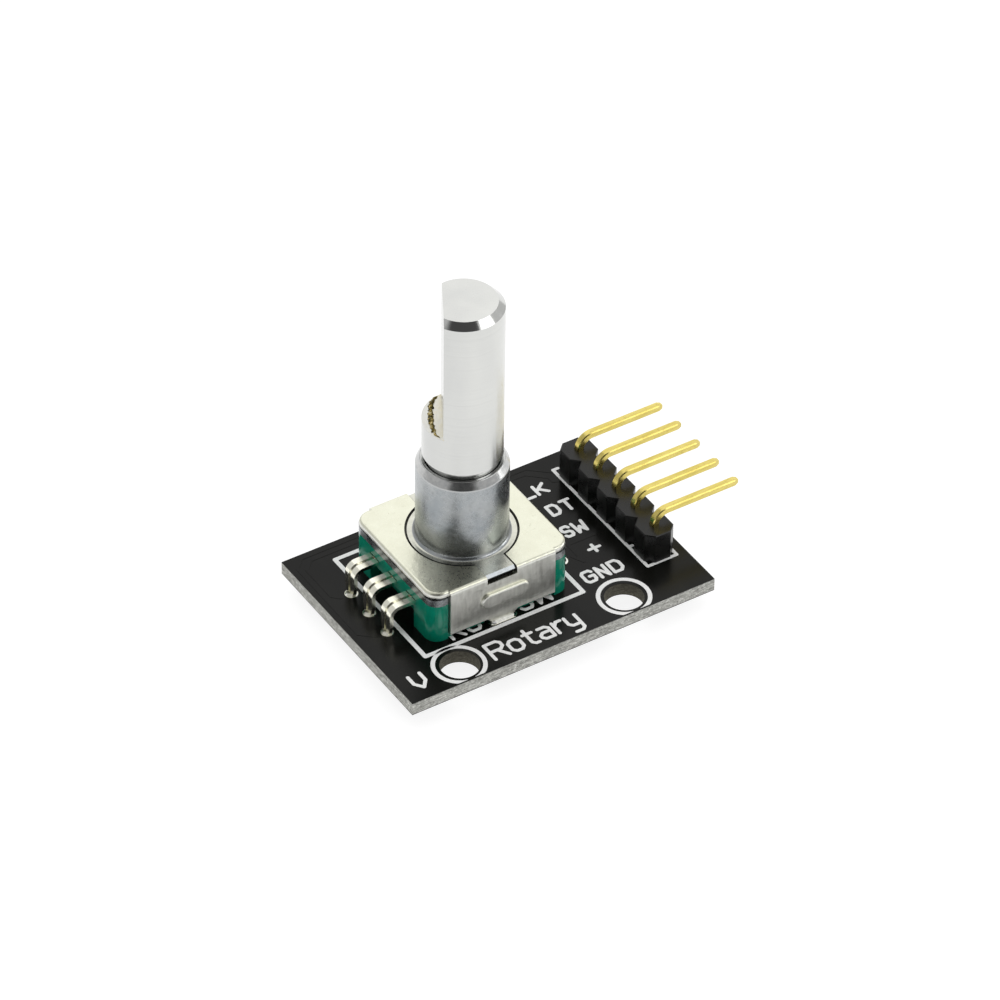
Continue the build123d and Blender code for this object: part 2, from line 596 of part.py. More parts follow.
# ---------------------------------------------------------------- export ----
total = 0
for name, s in nodes.items():
    moved = Pos(-ox, -oy, oz) * s
    solids = moved.solids()
    vol = sum(k.volume for k in solids)
    bb = moved.bounding_box()
    print("%-18s solids %2d vol %9.3f  x %.2f..%.2f y %.2f..%.2f z %.2f..%.2f" % (
        name, len(solids), vol, bb.min.X, bb.max.X, bb.min.Y, bb.max.Y, bb.min.Z, bb.max.Z))
    shape = solids[0] if len(solids) == 1 else Compound(children=list(solids))
    export_step(shape, "parts/%s.step" % name)
    total += len(solids)
print(len(nodes), "nodes", total, "solids")
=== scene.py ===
import json
import math
import random

import bmesh
import bpy
from mathutils import Matrix, Vector
from mathutils.geometry import delaunay_2d_cdt


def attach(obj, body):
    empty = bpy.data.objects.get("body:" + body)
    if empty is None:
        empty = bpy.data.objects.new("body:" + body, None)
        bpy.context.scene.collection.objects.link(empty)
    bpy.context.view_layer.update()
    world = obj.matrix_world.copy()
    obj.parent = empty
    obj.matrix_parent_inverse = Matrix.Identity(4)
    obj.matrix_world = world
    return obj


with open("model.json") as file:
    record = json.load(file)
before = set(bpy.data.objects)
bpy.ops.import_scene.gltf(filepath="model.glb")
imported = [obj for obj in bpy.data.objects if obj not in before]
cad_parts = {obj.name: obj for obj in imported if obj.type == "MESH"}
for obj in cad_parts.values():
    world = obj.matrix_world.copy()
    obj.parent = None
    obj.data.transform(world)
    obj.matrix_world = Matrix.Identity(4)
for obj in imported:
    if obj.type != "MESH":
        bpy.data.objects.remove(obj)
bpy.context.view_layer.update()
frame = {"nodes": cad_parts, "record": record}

random.seed(7)

MM = 0.001
# the board frame's origin in the row frame: drawings below are in millimetres on the board
OX, OY, OZ = -15.65, -9.15, 2.6
BOARD_L, BOARD_W, BOARD_T = 26.1, 18.3, 1.1
ENC = (10.5, 10.1)                      # encoder axis on the board
AX, AY = (ENC[0] + OX) * MM, (ENC[1] + OY) * MM


def P(x, y, z=0.0):
    return ((x + OX) * MM, (y + OY) * MM, (z + OZ) * MM)


# ============================================================== materials ====
class Mat:
    """A small helper that lays out one procedural material."""

    def __init__(self, name):
        self.m = bpy.data.materials.new(name)
        self.m.use_nodes = True
        self.nt = self.m.node_tree
        self.b = self.nt.nodes["Principled BSDF"]
        self.tc = self.nt.nodes.new("ShaderNodeTexCoord")

    def node(self, kind, **props):
        n = self.nt.nodes.new(kind)
        for k, v in props.items():
            setattr(n, k, v)
        return n

    def link(self, a, b):
        self.nt.links.new(a, b)

    def set(self, **vals):
        for k, v in vals.items():
            self.b.inputs[k.replace("_", " ")].default_value = v

    def coords(self, sx=1.0, sy=1.0, sz=1.0, loc=(0, 0, 0)):
        """Object coordinates in millimetres, stretched."""
        mp = self.node("ShaderNodeMapping")
        mp.inputs["Scale"].default_value = (1000 * sx, 1000 * sy, 1000 * sz)
        mp.inputs["Location"].default_value = loc
        self.link(self.tc.outputs["Object"], mp.inputs["Vector"])
        return mp.outputs["Vector"]

    def noise(self, vec, scale, detail=3.0, rough=0.5, distortion=0.0):
        n = self.node("ShaderNodeTexNoise")
        n.inputs["Scale"].default_value = scale
        n.inputs["Detail"].default_value = detail
        n.inputs["Roughness"].default_value = rough
        n.inputs["Distortion"].default_value = distortion
        self.link(vec, n.inputs["Vector"])
        return n.outputs["Fac"]

    def ramp(self, fac, stops):
        r = self.node("ShaderNodeValToRGB")
        e = r.color_ramp.elements
        while len(e) < len(stops):
            e.new(0.5)
        for k, (pos, col) in enumerate(stops):
            e[k].position = pos
            if not hasattr(col, "__len__"):
                col = (col, col, col)
            e[k].color = (*col, 1.0)
        self.link(fac, r.inputs["Fac"])
        return r.outputs["Color"]

    def mapr(self, fac, a, b, c, d):
        n = self.node("ShaderNodeMapRange")
        n.clamp = True
        for k, v in zip(("From Min", "From Max", "To Min", "To Max"), (a, b, c, d)):
            n.inputs[k].default_value = v
        self.link(fac, n.inputs["Value"])
        return n.outputs["Result"]

    def math(self, op, a, b=None, c=None):
        n = self.node("ShaderNodeMath", operation=op)
        for k, v in enumerate((a, b, c)):
            if v is None:
                continue
            if isinstance(v, (int, float)):
                n.inputs[k].default_value = v
            else:
                self.link(v, n.inputs[k])
        return n.outputs[0]

    def mix(self, fac, a, b, blend="MIX"):
        n = self.node("ShaderNodeMix", data_type="RGBA", blend_type=blend)
        n.clamp_factor = True
        for sock, v in ((n.inputs[0], fac), (n.inputs[6], a), (n.inputs[7], b)):
            if isinstance(v, (int, float)):
                sock.default_value = v
            elif isinstance(v, tuple):
                sock.default_value = (*v, 1.0)
            else:
                self.link(v, sock)
        return n.outputs[2]

    def bump(self, layers):
        """layers: (height, strength, distance in mm) chained into the normal."""
        last = None
        for h, strength, dist in layers:
            n = self.node("ShaderNodeBump")
            n.inputs["Strength"].default_value = strength
            n.inputs["Distance"].default_value = dist * MM
            self.link(h, n.inputs["Height"])
            if last is not None:
                self.link(last, n.inputs["Normal"])
            last = n.outputs["Normal"]
        self.link(last, self.b.inputs["Normal"])

    def normal_xyz(self):
        g = self.node("ShaderNodeNewGeometry")
        s = self.node("ShaderNodeSeparateXYZ")
        self.link(g.outputs["True Normal"], s.inputs[0])
        return s.outputs

    def pos_xyz(self):
        s = self.node("ShaderNodeSeparateXYZ")
        self.link(self.tc.outputs["Object"], s.inputs[0])
        return s.outputs

    def base(self, sock):
        self.link(sock, self.b.inputs["Base Color"])

    def rough(self, sock):
        self.link(sock, self.b.inputs["Roughness"])


def solder_mask():
    """Black satin mask over weave on the faces, ground glass laminate on the edges."""
    k = Mat("solder_mask_black")
    c = k.coords()
    nz = k.math("ABSOLUTE", k.normal_xyz()[2])
    face = k.math("GREATER_THAN", nz, 0.5)
    z = k.pos_xyz()[2]
    cloud = k.noise(c, 0.16, 3, 0.55)
    fine = k.noise(c, 9.0, 3, 0.6)
    top = k.mix(cloud, (0.0022, 0.0023, 0.0018), (0.0052, 0.0053, 0.0043))
    # faint shadow of the copper pours beneath the mask
    band = k.noise(k.coords(0.5, 0.14, 1, (3.2, 1.4, 0)), 1.0, 1, 0.3)
    top = k.mix(k.mapr(band, 0.46, 0.60, 0.0, 0.45), top, (0.0085, 0.0086, 0.0072))
    # routed edge: glass layers lying flat, torn fibre ends, a little black dust
    layers = k.noise(k.coords(0.9, 0.9, 11.0), 1.0, 4, 0.65)
    grit = k.noise(k.coords(0.7, 0.7, 1.4), 6.0, 4, 0.75)
    edge = k.ramp(layers, [(0.30, (0.20, 0.20, 0.185)), (0.50, (0.40, 0.40, 0.37)), (0.72, (0.66, 0.66, 0.62))])
    edge = k.mix(k.mapr(grit, 0.52, 0.66, 0.0, 0.75), edge, (0.86, 0.86, 0.82))
    edge = k.mix(k.mapr(grit, 0.46, 0.36, 0.0, 0.6), edge, (0.090, 0.088, 0.078))
    # painted shade: the walls of the drilled holes are coloured much darker and browner than the routed outline, as
    # shade inside the holes
    px, py, _ = k.pos_xyz()
    inner = None
    for sock, lo, hi in ((px, OX + 0.3, OX + BOARD_L - 0.3), (py, OY + 0.3, OY + BOARD_W - 0.3)):
        for op, lim in (("GREATER_THAN", lo), ("LESS_THAN", hi)):
            test = k.math(op, sock, lim * MM)
            inner = test if inner is None else k.math("MULTIPLY", inner, test)
    hole_wall_shade = k.mix(k.mapr(grit, 0.35, 0.65, 0, 1), (0.050, 0.046, 0.034), (0.150, 0.142, 0.110))
    edge = k.mix(inner, edge, hole_wall_shade)
    # the mask and copper at the two skins show as dark lines
    zt = k.math("GREATER_THAN", z, (OZ - 0.055) * MM)
    zb = k.math("LESS_THAN", z, (OZ - BOARD_T + 0.06) * MM)
    skin = k.math("MAXIMUM", zt, zb)
    edge = k.mix(k.math("MULTIPLY", skin, 0.85), edge, (0.016, 0.016, 0.014))
    k.base(k.mix(face, edge, top))
    rt = k.mapr(cloud, 0.3, 0.7, 0.17, 0.25)
    re = k.mapr(grit, 0.3, 0.7, 0.62, 0.9)
    n = k.node("ShaderNodeMix", data_type="FLOAT")
    k.link(face, n.inputs[0]); k.link(re, n.inputs[2]); k.link(rt, n.inputs[3])
    k.rough(n.outputs[0])
    weave_x = k.node("ShaderNodeTexWave", wave_type="BANDS", bands_direction="X")
    weave_y = k.node("ShaderNodeTexWave", wave_type="BANDS", bands_direction="Y")
    for w in (weave_x, weave_y):
        w.inputs["Scale"].default_value = 0.34
        w.inputs["Distortion"].default_value = 0.7
        k.link(c, w.inputs["Vector"])
    weave = k.math("MULTIPLY", weave_x.outputs["Fac"], weave_y.outputs["Fac"])
    edge_h = k.math("MULTIPLY", k.math("SUBTRACT", 1.0, face), k.math("ADD", layers, grit))
    k.bump([(weave, 0.10, 0.008), (fine, 0.08, 0.005), (edge_h, 0.9, 0.06)])
    k.set(Specular_IOR_Level=0.15)
    return k.m


def silk_white():
    k = Mat("silkscreen_white")
    c = k.coords()
    n = k.noise(c, 4.5, 4, 0.6)
    f = k.noise(c, 16.0, 3, 0.7)
    col = k.mix(k.mapr(n, 0.35, 0.65, 0, 1), (0.88, 0.88, 0.87), (0.94, 0.94, 0.935))
    col = k.mix(k.mapr(f, 0.66, 0.78, 0, 0.3), col, (0.5, 0.5, 0.5))
    k.base(col)
    k.rough(k.mapr(n, 0.3, 0.7, 0.5, 0.68))
    k.bump([(f, 0.35, 0.006), (n, 0.2, 0.01)])
    return k.m


def metal(name, lo, hi, r0, r1, scale=1.2, fine=18.0, stretch=(1, 1, 1), bump=0.25, dist=0.004, stain=None):
    k = Mat(name)
    c = k.coords(*stretch)
    n = k.noise(k.coords(), scale, 4, 0.6)
    f = k.noise(c, fine, 4, 0.65)
    col = k.mix(k.mapr(n, 0.32, 0.68, 0, 1), lo, hi)
    if stain:
        s = k.noise(k.coords(loc=(5.1, 2.7, 1.3)), scale * 2.3, 5, 0.7)
        col = k.mix(k.mapr(s, 0.58, 0.76, 0, stain[1]), col, stain[0])
    k.base(col)
    k.rough(k.mapr(k.math("ADD", k.math("MULTIPLY", n, 0.6), k.math("MULTIPLY", f, 0.4)), 0.32, 0.68, r0, r1))
    k.bump([(n, 0.12, 0.02), (f, bump, dist)])
    k.set(Metallic=1.0)
    return k, n, f


def cover_steel():
    """Tinned sheet: soft grain on the flat, drawn vertical marks on the clip arms."""
    k = Mat("tinned_cover")
    nx = k.normal_xyz()
    up = k.math("GREATER_THAN", k.math("ABSOLUTE", nx[2]), 0.5)
    n = k.noise(k.coords(), 0.9, 4, 0.55)
    grain = k.noise(k.coords(), 7.0, 4, 0.6)
    drawn = k.noise(k.coords(4.5, 4.5, 0.8), 1.0, 3, 0.5)
    speck = k.noise(k.coords(loc=(2.2, 0.4, 0)), 2.6, 2, 0.4)
    mottle = k.noise(k.coords(loc=(0.7, 3.1, 0)), 2.9, 3, 0.55)
    flat = k.mix(k.mapr(n, 0.3, 0.7, 0, 1), (0.735, 0.735, 0.605), (0.79, 0.795, 0.665))
    flat = k.mix(k.mapr(speck, 0.71, 0.76, 0, 0.28), flat, (0.42, 0.40, 0.31))
    side = k.mix(k.mapr(drawn, 0.30, 0.70, 0, 1), (0.66, 0.66, 0.61), (0.80, 0.80, 0.75))
    k.base(k.mix(up, side, flat))
    rf = k.mapr(grain, 0.3, 0.7, 0.25, 0.37)
    rs = k.mapr(drawn, 0.3, 0.7, 0.30, 0.40)
    m = k.node("ShaderNodeMix", data_type="FLOAT")
    k.link(up, m.inputs[0]); k.link(rs, m.inputs[2]); k.link(rf, m.inputs[3])
    k.rough(m.outputs[0])
    side_h = k.math("MULTIPLY", k.math("SUBTRACT", 1.0, up), drawn)
    k.bump([(n, 0.12, 0.05), (mottle, 0.45, 0.035), (grain, 0.12, 0.008), (side_h, 0.10, 0.007)])
    k.set(Metallic=1.0)
    return k.m


def zinc():
    """Die-cast zinc: bluish, blotched, with a soft skin and turned marks on the bush."""
    k = Mat("cast_zinc")
    c = k.coords()
    big = k.noise(c, 0.55, 4, 0.55, 0.4)
    mid = k.noise(k.coords(loc=(1.7, 4.2, 0.3)), 2.4, 4, 0.6)
    fine = k.noise(c, 12.0, 4, 0.7)
    turned = k.noise(k.coords(0.6, 0.6, 9.0), 1.0, 3, 0.6)
    col = k.mix(k.mapr(big, 0.32, 0.68, 0, 1), (0.30, 0.325, 0.34), (0.43, 0.445, 0.45))
    col = k.mix(k.mapr(mid, 0.55, 0.75, 0, 0.45), col, (0.24, 0.25, 0.25))
    nz = k.normal_xyz()[2]
    z = k.pos_xyz()[2]
    # painted light: faces that look straight up are coloured lighter and warmer than the rest, as if lit from above
    flat = k.math("GREATER_THAN", nz, 0.9)
    lit_top_tone = k.mix(k.mapr(mid, 0.35, 0.65, 0, 1), (0.58, 0.58, 0.51), (0.68, 0.68, 0.60))
    col = k.mix(flat, col, lit_top_tone)
    # painted shade: the seat under the cover is coloured near black, so the gaps round the boss and the tabs read as
    # shadowed
    seat_gap_shade = k.math("MULTIPLY", k.math("GREATER_THAN", nz, -2.0), k.math("LESS_THAN", z, (OZ + 4.22) * MM))
    seat_gap_shade = k.math("MULTIPLY", seat_gap_shade, k.math("GREATER_THAN", z, (OZ + 3.9) * MM))
    col = k.mix(k.math("MULTIPLY", seat_gap_shade, 0.94), col, (0.012, 0.012, 0.011))
    # the turned rim of the bush is brighter than its cast skin
    rim = k.mapr(z, (OZ + 10.75) * MM, (OZ + 10.95) * MM, 0, 1)
    col = k.mix(rim, col, k.mix(k.mapr(mid, 0.3, 0.7, 0, 1), (0.44, 0.45, 0.45), (0.56, 0.56, 0.55)))
    k.base(col)
    body_r = k.mapr(k.math("ADD", k.math("MULTIPLY", big, 0.6), k.math("MULTIPLY", mid, 0.4)), 0.34, 0.66, 0.20, 0.34)
    k.rough(k.math("MULTIPLY", body_r, k.mapr(rim, 0, 1, 1.0, 0.62)))
    k.bump([(big, 0.22, 0.06), (mid, 0.30, 0.020), (fine, 0.10, 0.003), (turned, 0.06, 0.006)])
    k.set(Metallic=1.0)
    return k.m


def shaft_alu():
    """Bright turned bar: hair-fine rings, concentric marks on the end, milled step and flat."""
    k = Mat("turned_aluminium")
    pos = k.pos_xyz()
    nrm = k.normal_xyz()
    up = k.math("GREATER_THAN", nrm[2], 0.8)
    dx = k.math("SUBTRACT", pos[0], AX)
    dy = k.math("SUBTRACT", pos[1], AY)
    r = k.math("SQRT", k.math("ADD", k.math("MULTIPLY", dx, dx), k.math("MULTIPLY", dy, dy)))
    rings = k.math("SINE", k.math("MULTIPLY", r, 2 * math.pi / (0.19 * MM)))
    turn = k.noise(k.coords(0.05, 0.05, 16.0), 1.0, 3, 0.55)
    soft = k.noise(k.coords(0.35, 0.35, 0.12), 1.0, 2, 0.5)
    grain = k.noise(k.coords(), 11.0, 4, 0.65)
    col = k.mix(k.mapr(soft, 0.3, 0.7, 0, 1), (0.60, 0.605, 0.595), (0.67, 0.675, 0.655))
    col = k.mix(k.mapr(turn, 0.52, 0.72, 0, 0.22), col, (0.50, 0.50, 0.49))
    # brassy tear-out where the cutter left the step, close to the flat
    a = math.radians(150.0)
    d = k.math("ADD", k.math("MULTIPLY", dx, math.cos(a)), k.math("MULTIPLY", dy, math.sin(a)))
    near = k.mapr(d, 1.5 * MM, 2.5 * MM, 1.0, 0.25)
    zlow = k.math("LESS_THAN", pos[2], (15.14 + OZ) * MM)
    ztop = k.math("GREATER_THAN", pos[2], (15.02 + OZ) * MM)
    beyond = k.math("GREATER_THAN", d, 1.44 * MM)
    torn = k.noise(k.coords(loc=(0.3, 0.1, 0)), 3.4, 3, 0.7)
    torn_f = k.math("MULTIPLY", k.mapr(torn, 0.35, 0.65, 0.25, 0.75),
                    k.math("MULTIPLY", near, k.math("MULTIPLY", zlow, k.math("MULTIPLY", ztop, beyond))))
    col = k.mix(torn_f, col, (0.66, 0.60, 0.42))
    k.base(col)
    cham = k.mapr(pos[2], (OZ + 25.28) * MM, (OZ + 25.31) * MM, 1.0, 0.55)
    rs = k.mapr(k.math("ADD", k.math("MULTIPLY", turn, 0.5), k.math("MULTIPLY", soft, 0.5)), 0.35, 0.65, 0.17, 0.25)
    rs = k.math("MULTIPLY", rs, cham)
    rt = k.mapr(grain, 0.3, 0.7, 0.26, 0.36)
    m = k.node("ShaderNodeMix", data_type="FLOAT")
    k.link(up, m.inputs[0]); k.link(rs, m.inputs[2]); k.link(rt, m.inputs[3])
    k.rough(m.outputs[0])
    ring_h = k.math("MULTIPLY", up, rings)
    torn_h = k.math("MULTIPLY", torn_f, torn)
    k.bump([(turn, 0.07, 0.003), (ring_h, 0.10, 0.004), (grain, 0.05, 0.003), (torn_h, 0.6, 0.05)])
    k.set(Metallic=1.0)
    return k.m


def green_plastic():
    k = Mat("green_thermoplastic")
    c = k.coords()
    n = k.noise(c, 0.8, 3, 0.5)
    f = k.noise(c, 10.0, 4, 0.6)
    flow = k.noise(k.coords(0.7, 0.7, 2.6), 1.0, 3, 0.6)
    col = k.mix(k.mapr(n, 0.3, 0.7, 0, 1), (0.0006, 0.180, 0.108), (0.0020, 0.245, 0.155))
    col = k.mix(k.mapr(flow, 0.55, 0.72, 0, 0.3), col, (0.003, 0.300, 0.200))
    k.base(col)
    k.rough(k.mapr(f, 0.3, 0.7, 0.12, 0.20))
    k.bump([(n, 0.06, 0.03), (f, 0.08, 0.004)])
    k.set(Subsurface_Weight=0.15, Subsurface_Scale=0.0005, Specular_IOR_Level=0.5, IOR=1.52)
    k.b.inputs["Subsurface Radius"].default_value = (0.15, 1.0, 0.7)
    return k.m


def dark_plastic(name, lo, hi, r0, r1, grain=9.0, bump=0.35, spec=0.25):
    k = Mat(name)
    c = k.coords()
    n = k.noise(c, 0.9, 3, 0.5)
    f = k.noise(c, grain, 4, 0.65)
    k.base(k.mix(k.mapr(n, 0.3, 0.7, 0, 1), lo, hi))
    k.rough(k.mapr(k.math("ADD", k.math("MULTIPLY", n, 0.5), k.math("MULTIPLY", f, 0.5)), 0.35, 0.65, r0, r1))
    k.bump([(n, 0.15, 0.03), (f, bump, 0.008)])
    k.set(Specular_IOR_Level=spec)
    return k.m


def gold():
    k = Mat("gold_plating")
    n = k.noise(k.coords(0.5, 2.5, 2.5), 1.0, 4, 0.6)
    f = k.noise(k.coords(1.2, 9.0, 9.0), 1.0, 4, 0.65)
    dust = k.noise(k.coords(loc=(0.4, 2.0, 1.0)), 3.1, 4, 0.7)
    col = k.mix(k.mapr(n, 0.3, 0.7, 0, 1), (0.60, 0.485, 0.120), (0.76, 0.635, 0.205))
    col = k.mix(k.mapr(dust, 0.54, 0.72, 0, 0.5), col, (0.38, 0.29, 0.07))
    k.base(col)
    k.rough(k.mapr(f, 0.3, 0.7, 0.20, 0.34))
    k.bump([(n, 0.15, 0.02), (f, 0.2, 0.006)])
    k.set(Metallic=1.0)
    return k.m


def ceramic():
    k = Mat("resistor_body")
    nz = k.math("LESS_THAN", k.normal_xyz()[2], -0.5)
    n = k.noise(k.coords(), 2.0, 3, 0.5)
    f = k.noise(k.coords(), 14.0, 3, 0.6)
    dark = k.mix(n, (0.012, 0.012, 0.013), (0.022, 0.022, 0.024))
    pale = k.mix(n, (0.62, 0.61, 0.58), (0.74, 0.73, 0.70))
    k.base(k.mix(nz, pale, dark))
    k.rough(k.mapr(f, 0.3, 0.7, 0.35, 0.5))
    k.bump([(f, 0.3, 0.006)])
    return k.m


silk = silk_white()
mask = solder_mask()
tin = metal("bright_tin", (0.86, 0.845, 0.72), (0.94, 0.93, 0.82), 0.15, 0.25, 1.6, 7.0, (1, 1, 1), 0.12, 0.006,
            ((0.60, 0.56, 0.36), 0.25))[0].m
solder = metal("solder", (0.62, 0.62, 0.615), (0.80, 0.80, 0.79), 0.18, 0.36, 1.1, 6.0, (1, 1, 1), 0.3, 0.012,
               ((0.40, 0.39, 0.36), 0.5))[0].m
spring = metal("spring_steel", (0.60, 0.59, 0.56), (0.74, 0.73, 0.70), 0.20, 0.32, 1.2, 12.0, (3, 0.6, 1), 0.2, 0.004)[0].m
brass = metal("brass_sheet", (0.70, 0.50, 0.20), (0.86, 0.66, 0.32), 0.24, 0.38, 1.3, 10.0, (1, 1, 1), 0.2, 0.005,
              ((0.35, 0.24, 0.10), 0.3))[0].m
by_slot = {
    "solder_mask": mask,
    "tin": tin,
    "solder": solder,
    "header_plastic": dark_plastic("header_black", (0.0040, 0.0040, 0.0040), (0.0090, 0.0090, 0.0080), 0.24, 0.36, 9.0, 0.25, 0.30),
    "gold_plate": gold(),
    "cover_steel": cover_steel(),
    "zinc_casting": zinc(),
    "green_moulding": green_plastic(),
    "shaft_aluminium": shaft_alu(),
    "spring_metal": spring,
    "white_acetal": dark_plastic("white_acetal", (0.72, 0.72, 0.68), (0.82, 0.82, 0.79), 0.34, 0.46, 8.0, 0.2),
    "black_acetal": dark_plastic("black_acetal", (0.014, 0.014, 0.015), (0.024, 0.024, 0.025), 0.32, 0.44, 8.0, 0.2),
    "brass_sheet": brass,
    "resistor_ceramic": ceramic(),
}
for part in frame["record"]["subparts"]:
    me = frame["nodes"][part["node"]].data
    me.materials.clear()
    me.materials.append(by_slot[part["material_slot"]])


# ================================================================= pieces ====
def add(name, me, mat, body="base"):
    ob = bpy.data.objects.new(name, me)
    bpy.context.scene.collection.objects.link(ob)
    me.materials.clear()
    me.materials.append(mat)
    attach(ob, body)
    return ob


def union_mesh(name, shapes, z0, z1, keep=None):
    """The union of flat polygons (board millimetres) as one closed slab between two heights."""
    verts, faces = [], []
    for poly in shapes:
        area = sum(p[0] * q[1] - q[0] * p[1] for p, q in zip(poly, poly[1:] + poly[:1]))
        if area < 0:
            poly = poly[::-1]
        faces.append(list(range(len(verts), len(verts) + len(poly))))
        verts += [Vector((x, y)) for x, y in poly]
    vs, _, fs, _, _, src = delaunay_2d_cdt(verts, [], faces, 1, 1e-5)
    used = [f for f, s in zip(fs, src) if s]
    if keep is not None:
        used = [f for f in used if keep(sum(vs[i].x for i in f) / 3, sum(vs[i].y for i in f) / 3)]
    bm = bmesh.new()
    top, bot = {}, {}
    for i in sorted({i for f in used for i in f}):
        top[i] = bm.verts.new(P(vs[i].x, vs[i].y, z1))
        bot[i] = bm.verts.new(P(vs[i].x, vs[i].y, z0))
    count = {}
    for f in used:
        bm.faces.new([top[i] for i in f])
        bm.faces.new([bot[i] for i in reversed(f)])
        for p, q in zip(f, f[1:] + f[:1]):
            count[(p, q)] = 1
    for (p, q) in count:
        if (q, p) not in count:
            bm.faces.new([top[q], top[p], bot[p], bot[q]])
    bmesh.ops.recalc_face_normals(bm, faces=bm.faces)
    me = bpy.data.meshes.new(name)
    bm.to_mesh(me)
    bm.free()
    return me


def disc(x, y, r, n=20):
    return [(x + r * math.cos(2 * math.pi * i / n), y + r * math.sin(2 * math.pi * i / n)) for i in range(n)]


def strokes(lines, width, round_ends=True):
    """Polylines drawn with a round pen."""
    out = []
    r = width / 2
    for line in lines:
        for i, (a, b) in enumerate(zip(line, line[1:])):
            dx, dy = b[0] - a[0], b[1] - a[1]
            d = math.hypot(dx, dy)
            if d < 1e-6:
                continue
            nx, ny = -dy / d * r, dx / d * r
            out.append([(a[0] + nx, a[1] + ny), (a[0] - nx, a[1] - ny), (b[0] - nx, b[1] - ny), (b[0] + nx, b[1] + ny)])
        ends = line if round_ends else line[1:-1]
        for p in ends:
            out.append(disc(p[0], p[1], r * 0.9995, 16))
    return out


# a plain stroke alphabet on a grid 1 wide and 1 high
def arc(cx, cy, rx, ry, a0, a1, n=8):
    return [(cx + rx * math.cos(math.radians(a0 + (a1 - a0) * i / n)), cy + ry * math.sin(math.radians(a0 + (a1 - a0) * i / n)))
            for i in range(n + 1)]


GLYPHS = {
    "C": [[(1, 0.82), (0.82, 1), (0.2, 1), (0, 0.82), (0, 0.18), (0.2, 0), (0.82, 0), (1, 0.18)]],
    "D": [[(0, 0), (0, 1), (0.72, 1), (1, 0.76), (1, 0.24), (0.72, 0), (0, 0)]],
    "E": [[(1, 1), (0, 1), (0, 0), (1, 0)], [(0, 0.52), (0.78, 0.52)]],
    "G": [[(1, 0.84), (0.82, 1), (0.2, 1), (0, 0.82), (0, 0.18), (0.2, 0), (0.82, 0), (1, 0.18), (1, 0.5), (0.58, 0.5)]],
    "K": [[(0, 0), (0, 1)], [(1, 1), (0, 0.40)], [(0.30, 0.58), (1, 0)]],
    "L": [[(0, 1), (0, 0), (1, 0)]],
    "N": [[(0, 0), (0, 1), (1, 0), (1, 1)]],
    "O": [[(0.2, 0), (0, 0.18), (0, 0.82), (0.2, 1), (0.8, 1), (1, 0.82), (1, 0.18), (0.8, 0), (0.2, 0)]],
    "R": [[(0, 0), (0, 1), (0.8, 1), (1, 0.84), (1, 0.60), (0.8, 0.45), (0, 0.45)], [(0.5, 0.45), (1, 0)]],
    "S": [[(1, 0.84), (0.8, 1), (0.2, 1), (0, 0.84), (0, 0.66), (0.2, 0.52), (0.8, 0.48), (1, 0.34), (1, 0.16), (0.8, 0), (0.2, 0), (0, 0.16)]],
    "T": [[(0, 1), (1, 1)], [(0.5, 1), (0.5, 0)]],
    "V": [[(0, 1), (0, 0.42), (0.5, 0), (1, 0.42), (1, 1)]],
    "W": [[(0, 1), (0.12, 0), (0.5, 0.55), (0.88, 0), (1, 1)]],
    "+": [[(0, 0.5), (1, 0.5)], [(0.5, 0), (0.5, 1)]],
    "1": [[(0.15, 0.75), (0.55, 1), (0.55, 0)], [(0.15, 0), (0.95, 0)]],
    "2": [[(0, 0.84), (0.2, 1), (0.8, 1), (1, 0.84), (1, 0.62), (0, 0), (1, 0)]],
}


def letter(ch, x0, x1, y0, y1, width):
    """A glyph whose ink fills the given rectangle, drawn with a pen of that width."""
    h = width / 2
    x0, x1, y0, y1 = x0 + h, x1 - h, y0 + h, y1 - h
    return strokes([[(x0 + px * (x1 - x0), y0 + py * (y1 - y0)) for px, py in line] for line in GLYPHS[ch]], width)


INK = 0.022
S0, S1 = -0.002, INK


def legend(name, shapes, z0=S0, z1=S1, keep=None):
    return add(name, union_mesh(name, shapes, z0, z1, keep), silk)


def word(name, glyphs, y0, y1, width):
    shapes = []
    for ch, x0, x1 in glyphs:
        shapes += letter(ch, x0, x1, y0, y1, width)
    return legend(name, shapes)


word("legend_clk", [("C", 17.7, 18.7), ("L", 19.0, 20.02), ("K", 20.15, 21.25)], 14.65, 15.95, 0.27)
word("legend_dt", [("D", 19.75, 20.75), ("T", 20.95, 21.95)], 12.05, 13.45, 0.27)
word("legend_sw", [("S", 19.3, 20.2), ("W", 20.3, 21.4)], 9.45, 10.85, 0.27)
word("legend_plus", [("+", 19.85, 21.05)], 7.02, 8.08, 0.27)
word("legend_gnd", [("G", 17.8, 18.9), ("N", 19.05, 20.0), ("D", 20.15, 21.25)], 4.3, 5.75, 0.27)
word("legend_v", [("V", 1.05, 2.3)], 0.95, 2.7, 0.28)
word("legend_rot_sw", [("R", 6.1, 7.4), ("O", 7.6, 8.8), ("T", 9.2, 10.3), ("S", 12.1, 13.3), ("W", 13.5, 15.0)], 4.25 - 0.0, 5.95, 0.27)
